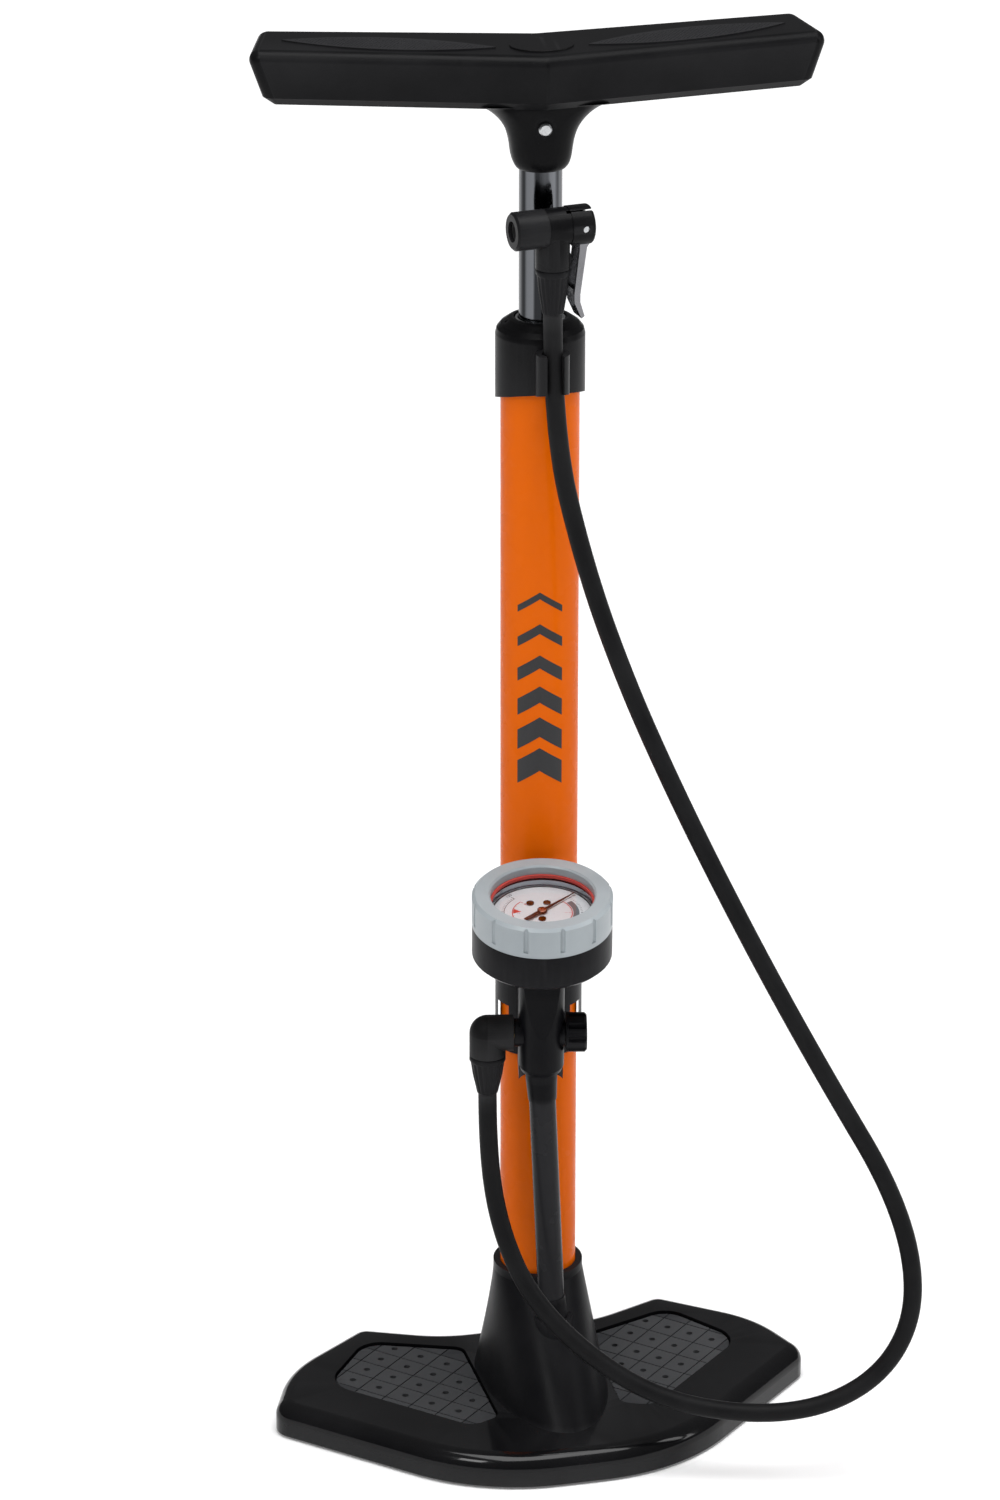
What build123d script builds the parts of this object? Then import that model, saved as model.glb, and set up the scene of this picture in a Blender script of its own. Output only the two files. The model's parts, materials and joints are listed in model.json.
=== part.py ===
"""Floor pump: a hand-worked air pump that stands on a plate with two foot treads.

Frame: the barrel's axis is Z and the floor is z = 0.  +X is the user's right seen from the front,
and the front of the pump, where the gauge and the valve head are, faces -Y.  Millimetres.
"""
import os
from math import cos, pi, radians, sin, tan

from build123d import *

# ---------------------------------------------------------------- driving dimensions
barrel_r, barrel_wall = 17.5, 1.2
barrel_bottom, barrel_top = 24.0, 512.0
bore_r = barrel_r - barrel_wall

deck_z = 16.0                     # top of the base plate
base_wall = 3.0
tread_floor, tread_top = 12.0, 14.8
tread_gap = 0.7

boot_top, boot_rim_r, boot_wall = 73.0, 20.7, 2.8
boot_half_width, boot_front, boot_rear = 29.5, 68.0, 33.0

stroke = 400.0
piston_bottom = 47.0
bush_bottom = 488.0
rod_r, rod_wall, rod_top = 9.5, 1.4, 642.0

cap_r, cap_shoulder, cap_dome, cap_dome_r = 19.8, 525.5, 533.0, 12.5
cap_skirt, cap_skirt_tilt = 497.0, 16.5     # the skirt's lower edge climbs towards the front
clip_at, clip_bottom, clip_top = (-1.0, -26.8), 503.0, 524.0

handle_turn = -5.9                # how the freely turning handle stands, degrees about Z
handle_bottom, handle_top = 631.0, 655.0
handle_half, handle_sweep = 128.0, 12.0
handle_front, handle_rear, handle_end_depth = -23.0, 22.0, 38.0
handle_end_slant, plug_depth = 20.0, 6.0   # the ends lean inwards towards the bottom
neck_half_depth = 13.5
handle_screw_z = 621.0

gauge_turn, gauge_tilt = -12.0, 8.0        # the gauge looks a little left of the front, and forward
tee_out, tee_bottom, tee_r = 41.0, 188.7, 10.3
cup_h, bezel_h, lens_h, ring_top = 61.0, 78.3, 86.0, 93.3      # heights along the gauge's own axis
cup_r, bezel_opening_r = 31.4, 23.35
dial_h, dial_r = 83.0, 23.2
port_h = 19.8                     # height of the side ports on the tee

pipe_r, pipe_foot = 6.1, (-0.5, -30.0, 58.0)
leg_x = -24.3                     # the elbow's downward leg, left of the tee
hose_r, hose_bore_r = 4.25, 2.5

head_at, head_turn = (-1.0, -26.8, 581.0), 7.6
head_r, hood_r, hood_end = 8.5, 8.9, 16.9
lever_pin_x = 12.2

# the hose's route, from the elbow's sleeve to the sleeve under the valve head
hose_route = [
    (-32.9, -37.7, 179.0),
    (-32.9, -37.7, 147.0),
    (-28.8, -46.0, 112.0),
    (-17.5, -57.5, 82.5),
    (6.0, -73.5, 57.5),
    (37.0, -88.5, 39.0),
    (76.0, -101.5, 33.0),
    (109.0, -109.0, 37.5),
    (134.5, -112.0, 53.0),
    (148.5, -111.0, 78.0),
    (148.8, -107.0, 109.0),
    (137.5, -101.5, 145.0),
    (115.5, -92.5, 185.5),
    (91.0, -82.0, 233.0),
    (67.0, -71.5, 283.0),
    (46.0, -60.5, 330.0),
    (26.8, -50.0, 378.0),
    (11.0, -39.5, 428.0),
    (-1.0, -26.8, 488.0),
    (-1.0, -26.8, 542.5),
]

# ---------------------------------------------------------------- frames
WORLD = Plane.XY


def turned_plane(origin, turn, tilt=0.0):
    """A plane at origin, turned about Z and tilted forward, whose +Z is a piece's own axis."""
    forward = Vector(sin(radians(turn)), -cos(radians(turn)), 0)
    across = Vector(cos(radians(turn)), sin(radians(turn)), 0)
    up = forward * sin(radians(tilt)) + Vector(0, 0, 1) * cos(radians(tilt))
    return Plane(origin=origin, x_dir=across, z_dir=up)


def upright(frame):
    """The frame's own XZ plane: x runs across, y runs up its axis."""
    return Plane(origin=frame.origin, x_dir=frame.x_dir, z_dir=-frame.y_dir)


def sideways(frame, height=0.0):
    """A plane across the frame's x axis, whose +Z is that axis and whose x runs up."""
    origin = frame.from_local_coords(Vector(0, 0, height))
    return Plane(origin=origin, x_dir=frame.z_dir, z_dir=frame.x_dir)


clamp_frame = turned_plane((0, 0, 0), gauge_turn)
tee_at = clamp_frame.from_local_coords(Vector(0, -tee_out, tee_bottom))
gauge = turned_plane(tee_at, gauge_turn, gauge_tilt)
handle = turned_plane((0, 0, 0), handle_turn)
head = turned_plane(head_at, head_turn)
pipe = Plane(origin=pipe_foot, x_dir=(1, 0, 0), z_dir=tee_at - Vector(*pipe_foot))
pipe_length = (tee_at - Vector(*pipe_foot)).length
elbow_at = gauge.from_local_coords(Vector(leg_x, 0, port_h))
leg = turned_plane(elbow_at, gauge_turn)


# ---------------------------------------------------------------- helpers
def save(part, label):
    """Label a finished piece and write it as its own STEP file."""
    part.label = label
    export_step(part, f"parts/{label}.step")


def spin(frame, outline):
    """A turned piece: a closed outline of (radius, height) points spun about the frame's axis."""
    with BuildPart() as piece:
        with BuildSketch(upright(frame)):
            with BuildLine():
                Polyline(*outline, close=True)
            make_face()
        revolve(axis=Axis(frame.origin, frame.z_dir))
    return piece.part


def ring(frame, inner, outer, low, high):
    """A plain ring, or a disc where inner is 0."""
    return spin(frame, [(inner, low), (outer, low), (outer, high), (inner, high)])


def slab(frame, points, low, high):
    """A flat piece: a closed outline in the frame's XY plane, from height low to high."""
    with BuildPart() as piece:
        with BuildSketch(frame.offset(low)):
            with BuildLine():
                Polyline(*points, close=True)
            make_face()
        extrude(amount=high - low)
    return piece.part


def both_sides(points):
    """Right-hand outline points, then their mirror images, as one closed outline."""
    return points + [(-x, y) for x, y in reversed(points)]


os.makedirs("parts", exist_ok=True)

# ---------------------------------------------------------------- base plate
base_right = [(47, -88.8), (128.5, -10), (115, 26), (73, 59), (36, 43)]
base_radii = [90, 11, 60, 9, 60]
base_roll = 7.5                   # radius of the plate's rolled top edge
foot_pads = [(0, 0), (0, -74), (104, -8), (71, 37), (-104, -8), (-71, 37)]
block_screws = [(15, 8), (-15, 8), (11, -13), (-11, -13)]
boot_screws = [(0, -54), (0, 27.2)]

tread_right = [(30.5, 25), (74, 41.5), (99.5, 5), (43, -50), (29.5, -44)]
tread_radii = [6, 12, 15, 8, 6]


def tread_outline(side):
    """The tread's outline for side +1 (right) or -1 (left)."""
    points = [(side * x, y) for x, y in tread_right]
    return FilletPolyline(*points, radius=tread_radii, close=True)


with BuildPart() as base_plate:
    with BuildSketch(WORLD.offset(1.5)) as base_outline:
        with BuildLine():
            FilletPolyline(*both_sides(base_right), radius=base_radii + base_radii[::-1], close=True)
        make_face()
    extrude(amount=deck_z - 1.5)
    fillet(base_plate.faces().sort_by(Axis.Z)[-1].edges(), base_roll)
    with BuildSketch(WORLD.offset(1.5)):
        offset(base_outline.sketch, -base_wall)
    extrude(amount=8, mode=Mode.SUBTRACT)
    with BuildSketch(WORLD.offset(3.0)):
        with Locations(*foot_pads):
            Circle(9)
    extrude(amount=6.5)
    for side in (1, -1):
        with BuildSketch(WORLD.offset(tread_floor)):
            with BuildLine():
                tread_outline(side)
            make_face()
            offset(amount=tread_gap)
        extrude(amount=6, mode=Mode.SUBTRACT)
    with Locations(*[(x, y, deck_z) for x, y in block_screws + boot_screws]):
        Hole(2.1)
save(base_plate.part, "base_plate")

with BuildPart() as base_feet:
    with BuildSketch(WORLD):
        with Locations(*foot_pads):
            Circle(8)
    extrude(amount=3.0)
    fillet(base_feet.faces().sort_by(Axis.Z)[:1].edges(), 0.6)
save(base_feet.part, "base_feet")

with BuildPart() as base_screws:
    for x, y in block_screws + boot_screws:
        with BuildSketch(WORLD.offset(6.9)):
            with Locations((x, y)):
                Circle(3.6)
        extrude(amount=2.6)
        with BuildSketch(WORLD.offset(9.5)):
            with Locations((x, y)):
                Circle(1.95)
        extrude(amount=12.5)
save(base_screws.part, "base_screws")

# ---------------------------------------------------------------- foot treads
cell_long = 10.3                  # half of the lattice's diagonal steps, along and across its rows
cell_short = 8.55
lattice_at = (57.9, -4.2)
row_counts = {-2: 3, -1: 4, 0: 5, 1: 5}


def lattice(row, step):
    """A point of the diagonal lattice, in right-hand coordinates."""
    x = lattice_at[0] - cell_long * step + cell_short * row
    y = lattice_at[1] - cell_long * step - cell_short * row
    return x, y


def tread(side):
    """A rubber tread with a diagonal grid of grooves and a hole in each cell."""
    holes = [lattice(row, step) for row, count in row_counts.items() for step in range(-2, count - 2)]
    with BuildPart() as piece:
        with BuildSketch(WORLD.offset(tread_floor)):
            with BuildLine():
                tread_outline(side)
            make_face()
        extrude(amount=tread_top - tread_floor)
        fillet(piece.faces().sort_by(Axis.Z)[-1].edges(), 0.5)
        with BuildSketch(WORLD.offset(tread_top - 0.7)):
            for row in range(-3, 2):
                x, y = lattice(row + 0.5, 0)
                with Locations(Location((side * x, y), side * 45)):
                    Rectangle(110, 0.6)
            for step in range(-3, 4):
                x, y = lattice(0, step + 0.5)
                with Locations(Location((side * x, y), -side * 45)):
                    Rectangle(110, 0.6)
        extrude(amount=2, mode=Mode.SUBTRACT)
        with BuildSketch(WORLD.offset(tread_floor)):
            with Locations(*[(side * x, y) for x, y in holes]):
                Circle(1.5)
        extrude(amount=5, mode=Mode.SUBTRACT)
    return piece.part


save(tread(1), "tread_right")
save(tread(-1), "tread_left")

# ---------------------------------------------------------------- foot block and its check valve
with BuildPart() as foot_block:
    with BuildSketch(WORLD.offset(deck_z)):
        Circle(21.5)
        with Locations((0, -20)):
            Rectangle(17, 34)
    extrude(amount=barrel_bottom - deck_z)
    with BuildSketch(WORLD.offset(barrel_bottom)):
        with Locations((0, -29.2)):
            RectangleRounded(17, 15.6, 3)
    extrude(amount=11)
    with BuildSketch(WORLD.offset(barrel_bottom)):
        Circle(bore_r - 0.3)
    extrude(amount=20)
    add(ring(WORLD, 13.8, 18, 35.5, 38.5), mode=Mode.SUBTRACT)
    add(ring(WORLD, 0, 5, 26, 40), mode=Mode.SUBTRACT)
    add(ring(WORLD, 0, 2.6, 39, 45), mode=Mode.SUBTRACT)
    add(ring(WORLD, 0, 2.0, 19, 27), mode=Mode.SUBTRACT)
    with BuildSketch(Plane.XZ.offset(-1)):
        with Locations((0, 20)):
            Circle(1.6)
    extrude(amount=29, mode=Mode.SUBTRACT)
    add(ring(pipe, 0, pipe_r + 0.05, 24 - 58, 0), mode=Mode.SUBTRACT)
    add(ring(pipe, 0, 2.0, 19 - 58, 0), mode=Mode.SUBTRACT)
    with BuildSketch(WORLD.offset(deck_z)):
        with Locations(*block_screws):
            Circle(2.0)
    extrude(amount=6.5, mode=Mode.SUBTRACT)
save(foot_block.part, "foot_block")
save(ring(WORLD, 13.85, bore_r - 0.02, 35.7, 38.3), "foot_o_ring")

with BuildPart() as valve_retainer:
    add(ring(WORLD, 2.4, 4.95, 26, 36))
    with BuildSketch(WORLD.offset(34.4)):
        Rectangle(12, 1.6)
        Rectangle(1.6, 12)
    extrude(amount=4, mode=Mode.SUBTRACT)
save(valve_retainer.part, "valve_retainer")
save(ring(WORLD, 0, 4.2, 36.05, 37.6), "check_disc")

# ---------------------------------------------------------------- boot over the foot of the barrel


def boot_shell(inset, bottom, top):
    """The boot's cone: an egg-shaped foot blending up into a round rim."""
    with BuildPart() as shell:
        with BuildSketch(WORLD.offset(bottom)):
            with BuildLine():
                half = boot_half_width - inset
                EllipticalCenterArc((0, 0), half, boot_front - inset, start_angle=180, arc_size=180)
                EllipticalCenterArc((0, 0), half, boot_rear - inset, start_angle=0, arc_size=180)
            make_face()
        with BuildSketch(WORLD.offset(top)):
            Circle(boot_rim_r - inset)
        loft()
    return shell.part


with BuildPart() as boot:
    add(boot_shell(0, deck_z, boot_top - 4))
    add(ring(WORLD, 0, boot_rim_r, boot_top - 4, boot_top))
    add(ring(turned_plane((0, -29.5, 0), 0), 0, 8.9, deck_z, 57.5))
    add(boot_shell(boot_wall, deck_z, boot_top - 4), mode=Mode.SUBTRACT)
    add(ring(WORLD, 0, barrel_r + 0.2, boot_top - 12, boot_top), mode=Mode.SUBTRACT)
    for x, y in boot_screws:
        add(ring(turned_plane((x, y, 0), 0), 0, 3.4, deck_z, 27))
        add(ring(turned_plane((x, y, 0), 0), 0, 2.0, deck_z, 22.5), mode=Mode.SUBTRACT)
    add(ring(pipe, 0, 7.3, -11, 40), mode=Mode.SUBTRACT)
    add(ring(pipe, 0, pipe_r + 0.1, -45, 0), mode=Mode.SUBTRACT)
save(boot.part, "boot")

# ---------------------------------------------------------------- barrel and cap
save(ring(WORLD, bore_r, barrel_r, barrel_bottom, barrel_top), "barrel")

with BuildPart() as cap:
    add(spin(WORLD, [(0, cap_skirt - 8), (cap_r, cap_skirt - 8), (cap_r, cap_shoulder),
                     (cap_r - 0.6, cap_shoulder + 2.4), (cap_r - 2.4, cap_shoulder + 4.6),
                     (cap_dome_r + 1.6, cap_dome - 0.6), (cap_dome_r, cap_dome), (0, cap_dome)]))
    clip = turned_plane((*clip_at, 0), 0)
    add(ring(clip, 0, 7.4, clip_bottom, clip_top))
    add(ring(clip, 0, 4.6, clip_bottom - 10, clip_top + 10), mode=Mode.SUBTRACT)
    add(slab(clip, [(-3.2, 0), (-4.2, -10), (4.2, -10), (3.2, 0)], clip_bottom - 5, clip_top + 15),
        mode=Mode.SUBTRACT)
    skirt_cut = Plane(origin=(0, 0, cap_skirt), x_dir=(1, 0, 0),
                      z_dir=(0, sin(radians(cap_skirt_tilt)), cos(radians(cap_skirt_tilt))))
    split(bisect_by=skirt_cut, keep=Keep.TOP)
    add(ring(WORLD, 0, barrel_r + 0.1, cap_skirt - 20, barrel_top), mode=Mode.SUBTRACT)
    add(ring(WORLD, 0, bore_r + 1.3, barrel_top - 1, barrel_top + 4), mode=Mode.SUBTRACT)
    add(ring(WORLD, 0, 11.6, barrel_top, cap_dome + 1), mode=Mode.SUBTRACT)
    with Locations((15.2, 0, cap_dome), (-15.2, 0, cap_dome)):
        Hole(0.9, depth=20)
save(cap.part, "cap")

with BuildPart() as guide_bush:
    add(spin(WORLD, [(rod_r + 0.05, bush_bottom), (bore_r - 0.05, bush_bottom), (bore_r - 0.05, barrel_top),
                     (bore_r + 1.1, barrel_top), (bore_r + 1.1, barrel_top + 3.8), (11.5, barrel_top + 3.8),
                     (11.5, cap_dome - 2.4), (rod_r + 0.05, cap_dome - 2.4)]))
    with Locations((15.2, 0, barrel_top + 4), (-15.2, 0, barrel_top + 4)):
        Hole(0.9, depth=40)
save(guide_bush.part, "guide_bush")

# ---------------------------------------------------------------- piston and rod
save(spin(WORLD, [(0, piston_bottom + 4), (13.2, piston_bottom + 4), (13.2, piston_bottom + 14),
                  (bore_r - 0.6, piston_bottom + 14), (bore_r - 0.6, piston_bottom + 30),
                  (rod_r + 0.4, piston_bottom + 30), (rod_r + 0.4, piston_bottom + 16),
                  (0, piston_bottom + 16)]), "piston_body")
save(spin(WORLD, [(13.3, piston_bottom + 4.2), (bore_r - 0.06, piston_bottom + 3),
                  (bore_r - 0.06, piston_bottom + 9), (14.8, piston_bottom + 13.9), (13.3, piston_bottom + 13.9)]), "piston_cup")
save(spin(WORLD, [(0, piston_bottom), (11.5, piston_bottom), (13.0, piston_bottom + 1.5),
                  (13.0, piston_bottom + 3.9), (0, piston_bottom + 3.9)]), "piston_washer")
save(ring(WORLD, rod_r + 0.3, bore_r - 1.0, piston_bottom + 30.1, bush_bottom - stroke - 0.3), "top_bumper")

with BuildPart() as rod:
    add(ring(WORLD, rod_r - rod_wall, rod_r, piston_bottom + 16.3, rod_top))
    with BuildSketch(upright(handle)):
        with Locations((0, handle_screw_z)):
            Circle(2.05)
    extrude(amount=40, both=True, mode=Mode.SUBTRACT)
save(rod.part, "rod")

# ---------------------------------------------------------------- handle
sweep_x, sweep_y = cos(radians(handle_sweep)), sin(radians(handle_sweep))
end_front = (handle_half, handle_front + handle_half * tan(radians(handle_sweep)))
end_rear = (end_front[0] - handle_end_depth * sweep_y, end_front[1] + handle_end_depth * sweep_x)


def end_plane(side, inset=0.0):
    """A plane across the bar at one end, leaning inwards towards the bottom and facing outwards."""
    along = handle.x_dir * (side * sweep_x) + handle.y_dir * sweep_y
    outward = along * cos(radians(handle_end_slant)) - Vector(0, 0, 1) * sin(radians(handle_end_slant))
    corner = handle.from_local_coords(Vector(side * end_front[0], end_front[1], handle_top))
    return Plane(origin=corner - along * inset, z_dir=outward)


def handle_bar():
    """The whole swept-back bar, before its end plugs are cut off."""
    with BuildPart() as bar:
        with BuildSketch(handle.offset(handle_bottom)):
            outline = [(0, handle_front), end_front, end_rear, (0, handle_rear)]
            with BuildLine():
                Polyline(*outline, *[(-x, y) for x, y in outline[2:0:-1]], close=True)
            make_face()
        extrude(amount=handle_top - handle_bottom)
        for side in (1, -1):
            split(bisect_by=end_plane(side), keep=Keep.BOTTOM)
        fillet(bar.edges().filter_by(lambda edge: abs((edge % 0.5).Z) > 0.5), 5)
        fillet(bar.faces().sort_by(Axis.Z)[-1].edges(), 4.6)
        chamfer(bar.faces().sort_by(Axis.Z)[0].edges(), 3.6)
    return bar.part


# the neck under the bar: height, half width and half depth of its rounded sections
neck_sections = [
    (601.0, 10.7, 11.6),
    (603.5, 12.2, 12.9),
    (612.0, 13.8, 13.4),
    (620.0, 16.4, 13.5),
    (626.5, 21.5, 14.6),
    (632.0, 31.0, 17.5),
]

with BuildPart() as handle_body:
    add(handle_bar())
    for side in (1, -1):
        split(bisect_by=end_plane(side, plug_depth), keep=Keep.BOTTOM)
    with BuildPart(mode=Mode.PRIVATE) as neck:
        for height, half_width, half_depth in neck_sections:
            with BuildSketch(handle.offset(height)):
                RectangleRounded(2 * half_width, 2 * half_depth, 10.4)
        loft()
    add(neck.part)
    add(ring(handle, 0, rod_r, neck_sections[0][0] - 5, rod_top), mode=Mode.SUBTRACT)
    with BuildSketch(upright(handle)):
        with Locations((0, handle_screw_z)):
            Circle(2.05)
    extrude(amount=40, both=True, mode=Mode.SUBTRACT)
    with BuildSketch(upright(handle).offset(neck_half_depth), upright(handle).offset(-neck_half_depth - 8)):
        with Locations((0, handle_screw_z)):
            Circle(3.7)
    extrude(amount=8, mode=Mode.SUBTRACT)
save(handle_body.part, "handle_body")

for side, name in ((1, "handle_end_right"), (-1, "handle_end_left")):
    with BuildPart() as handle_end:
        add(handle_bar())
        split(bisect_by=end_plane(side, plug_depth), keep=Keep.TOP)
    save(handle_end.part, name)

for side, name in ((1, "grip_right"), (-1, "grip_left")):
    with BuildPart() as grip:
        with BuildSketch(handle.offset(handle_top)):
            with BuildLine():
                near, far = (side * 20, -4), (side * 110, 20)
                ThreePointArc(near, (side * 69, -1), far)
                ThreePointArc(far, (side * 62, 17), near)
            make_face()
        extrude(amount=0.5)
    save(grip.part, name)

with BuildPart() as handle_badge:
    with BuildSketch(handle.offset(handle_top)):
        with Locations((0, -2)):
            Ellipse(14, 11.5)
    extrude(amount=0.7)
    fillet(handle_badge.faces().sort_by(Axis.Z)[-1].edges(), 0.4)
save(handle_badge.part, "handle_badge")

screw_axis = Plane(origin=handle.from_local_coords(Vector(0, 0, handle_screw_z)),
                   x_dir=handle.x_dir, z_dir=-handle.y_dir)
save(spin(screw_axis, [(0, -15.6), (3.4, -15.6), (3.4, -13.55), (1.95, -13.55), (1.95, 13.55),
                       (2.85, 13.55), (2.85, 15.0), (2.2, 15.8), (0, 15.8)]), "handle_screw")

# ---------------------------------------------------------------- gauge clamp and tee
with BuildPart() as gauge_clamp:
    add(ring(WORLD, 0, 19.8, 185, 238))
    with BuildSketch(clamp_frame.offset(182)):
        with Locations((0, -27)):
            Rectangle(20, 22)
    extrude(amount=44)
    add(ring(WORLD, 0, barrel_r + 0.05, 170, 250), mode=Mode.SUBTRACT)
    for side in (1, -1):
        with BuildSketch(clamp_frame.offset(192)):
            with Locations((side * 14.6, 0)):
                Rectangle(8, 28)
        extrude(amount=16, mode=Mode.SUBTRACT)
    add(ring(gauge, 0, tee_r + 0.05, -30, 60), mode=Mode.SUBTRACT)
    add(ring(sideways(gauge, port_h), 0, 6.5, -13, 11), mode=Mode.SUBTRACT)
    add(ring(pipe, 0, 7.4, pipe_length - 30, pipe_length), mode=Mode.SUBTRACT)
save(gauge_clamp.part, "gauge_clamp")

with BuildPart() as t_body:
    add(spin(gauge, [(0, 0), (tee_r - 3.5, 0), (tee_r - 1.0, 1.0), (tee_r, 3.5), (tee_r, cup_h), (7.2, cup_h),
                     (7.2, cup_h + 3), (0, cup_h + 3)]))
    facet = Plane(origin=gauge.from_local_coords(Vector(0, -tee_r, 22)),
                  x_dir=gauge.x_dir, z_dir=Vector(sin(radians(gauge_turn)), -cos(radians(gauge_turn)), 0.02))
    split(bisect_by=facet, keep=Keep.BOTTOM)
    add(ring(sideways(gauge, port_h), 0, 6.4, -12.4, 10.6))
    add(ring(sideways(gauge, port_h), 0, 3.4, -13, 0), mode=Mode.SUBTRACT)
    add(ring(sideways(gauge, port_h), 0, 4.05, 1.5, 12), mode=Mode.SUBTRACT)
    add(ring(gauge, 0, 1.6, port_h, cup_h), mode=Mode.SUBTRACT)
    add(ring(gauge, 0, 5.05, cup_h - 9, cup_h + 4), mode=Mode.SUBTRACT)
    add(ring(pipe, 0, 7.25, pipe_length - 20, pipe_length + 6), mode=Mode.SUBTRACT)
    add(ring(pipe, 0, 2.0, pipe_length, pipe_length + port_h), mode=Mode.SUBTRACT)
save(t_body.part, "t_body")

# ---------------------------------------------------------------- gauge
with BuildPart() as gauge_cup:
    add(spin(gauge, [(7.3, cup_h), (cup_r - 2, cup_h), (cup_r, cup_h + 2), (cup_r, bezel_h), (29.4, bezel_h),
                     (29.4, bezel_h + 7), (25.3, bezel_h + 7), (25.3, cup_h + 3), (7.3, cup_h + 3)]))
save(gauge_cup.part, "gauge_cup")

with BuildPart() as gauge_bezel:
    add(spin(gauge, [(29.6, bezel_h + 0.1), (cup_r + 0.1, bezel_h + 0.1), (cup_r + 0.1, ring_top - 1.4),
                     (cup_r - 1.3, ring_top), (bezel_opening_r + 0.8, ring_top),
                     (bezel_opening_r, ring_top - 0.8),
                     (bezel_opening_r, lens_h + 3.1), (29.6, lens_h + 3.1)]))
    with BuildSketch(gauge.offset(bezel_h + 2.4)):
        with PolarLocations(cup_r + 0.3, 12, start_angle=15):
            Circle(1.15)
    extrude(amount=20, mode=Mode.SUBTRACT)
save(gauge_bezel.part, "gauge_bezel")

save(ring(gauge, 22.4, 26.4, lens_h + 1.6, lens_h + 3.0), "gauge_gasket")
save(ring(gauge, 0, 26.4, lens_h + 0.05, lens_h + 1.5), "gauge_lens")
save(spin(gauge, [(0, 65), (25.1, 65), (25.1, lens_h), (dial_r + 0.1, lens_h), (dial_r + 0.1, 67), (0, 67)]),
     "gauge_can")

with BuildPart() as gauge_dial:
    add(ring(gauge, 0, dial_r, dial_h - 0.7, dial_h))
    add(ring(gauge, 0, 1.3, dial_h - 1, dial_h + 1), mode=Mode.SUBTRACT)
save(gauge_dial.part, "gauge_dial")

with BuildPart() as dial_screws:
    for x, y in ((-5.2, 7.8), (2.3, 8.2), (-0.2, -5.5)):
        with BuildSketch(gauge.offset(dial_h)):
            with Locations((x, y)):
                Circle(1.75)
        extrude(amount=0.7)
    fillet(dial_screws.faces().filter_by(lambda face: face.area < 12).edges().group_by(Axis.Z)[-1], 0.2)
save(dial_screws.part, "dial_screws")

needle_angle = 45.0               # from the gauge's +X towards its rear, where the scale begins
needle_along = gauge.x_dir * cos(radians(needle_angle)) + gauge.y_dir * sin(radians(needle_angle))
needle_frame = Plane(origin=gauge.from_local_coords(Vector(0, 0, dial_h + 1.2)),
                     x_dir=needle_along, z_dir=gauge.z_dir)
with BuildPart() as gauge_needle:
    add(slab(needle_frame, [(-11, -1.0), (-4, -1.0), (0, -0.8), (21.0, -0.12), (21.0, 0.12), (0, 0.8),
                            (-4, 1.0), (-11, 1.0)], 0, 0.4))
    add(ring(gauge, 0, 2.25, dial_h + 0.9, dial_h + 1.9))
    add(ring(gauge, 0, 0.75, dial_h + 0.5, dial_h + 1.5), mode=Mode.SUBTRACT)
save(gauge_needle.part, "gauge_needle")

with BuildPart() as gauge_movement:
    add(slab(gauge, [(-8, -6), (8, -6), (8, 7), (-8, 7)], 71, 72.2))
    add(slab(gauge, [(-8, -6), (8, -6), (8, 7), (-8, 7)], 76, 77.2))
    for x, y in ((-6.5, -4.5), (6.5, -4.5), (-6.5, 5.5), (6.5, 5.5)):
        post = turned_plane(gauge.from_local_coords(Vector(x, y, 0)), gauge_turn, gauge_tilt)
        add(ring(post, 0, 1, 71.5, 76.5))
    add(ring(gauge, 0, 0.7, 72, dial_h + 1.4))
save(gauge_movement.part, "gauge_movement")

with BuildPart() as bourdon_tube:
    with BuildSketch(upright(gauge)):
        with Locations((17.5, 73)):
            Ellipse(1.4, 3.2)
    revolve(axis=Axis(gauge.origin, gauge.z_dir), revolution_arc=250)
save(bourdon_tube.part, "bourdon_tube")

with BuildPart() as gauge_stem:
    add(ring(gauge, 0.8, 5.0, cup_h - 8.8, 64.95))
    add(ring(gauge, 4.0, 6.0, cup_h - 6, cup_h - 4), mode=Mode.SUBTRACT)
save(gauge_stem.part, "gauge_stem")
save(ring(gauge, 4.05, 5.03, cup_h - 5.9, cup_h - 4.1), "stem_o_ring")

# ---------------------------------------------------------------- side ports: knob, elbow and hose
knob_frame = sideways(gauge, port_h)
with BuildPart() as side_knob:
    add(spin(knob_frame, [(0, 2.2), (4.0, 2.2), (4.0, 11.0), (9.0, 11.0), (9.0, 19.4), (8.0, 20.4),
                          (0, 20.4)]))
    add(ring(knob_frame, 3.2, 5, 5.5, 7.5), mode=Mode.SUBTRACT)
    with BuildSketch(knob_frame.offset(12.2)):
        with PolarLocations(9.7, 9):
            Circle(1.7)
    extrude(amount=12, mode=Mode.SUBTRACT)
save(side_knob.part, "side_knob")
save(ring(knob_frame, 3.25, 3.98, 5.7, 7.3), "knob_o_ring")

elbow_r, elbow_bore_r, leg_low, sleeve_end = 8.2, 3.4, -10.5, 179.0


def elbow_bar(radius):
    """A round bar from the tee's left port round a ball corner and down the leg."""
    with BuildPart() as bar:
        with BuildSketch(sideways(leg)):
            Circle(radius)
        extrude(amount=-leg_x - 12.6)
        add(ring(leg, 0, radius, leg_low, 0))
        with Locations(leg.origin):
            Sphere(radius)
    return bar.part


with BuildPart() as elbow:
    add(elbow_bar(elbow_r))
    add(elbow_bar(elbow_bore_r), mode=Mode.SUBTRACT)
save(elbow.part, "elbow")
save(ring(sideways(gauge, port_h), 1.4, 3.35, -12.5, -1.5), "hose_nipple")

sleeve_low = sleeve_end - elbow_at.Z
save(spin(leg, [(2.0, sleeve_low), (hose_r + 0.6, sleeve_low), (elbow_r - 0.1, leg_low - 0.05),
                (2.0, leg_low - 0.05)]), "lower_sleeve")

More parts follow.
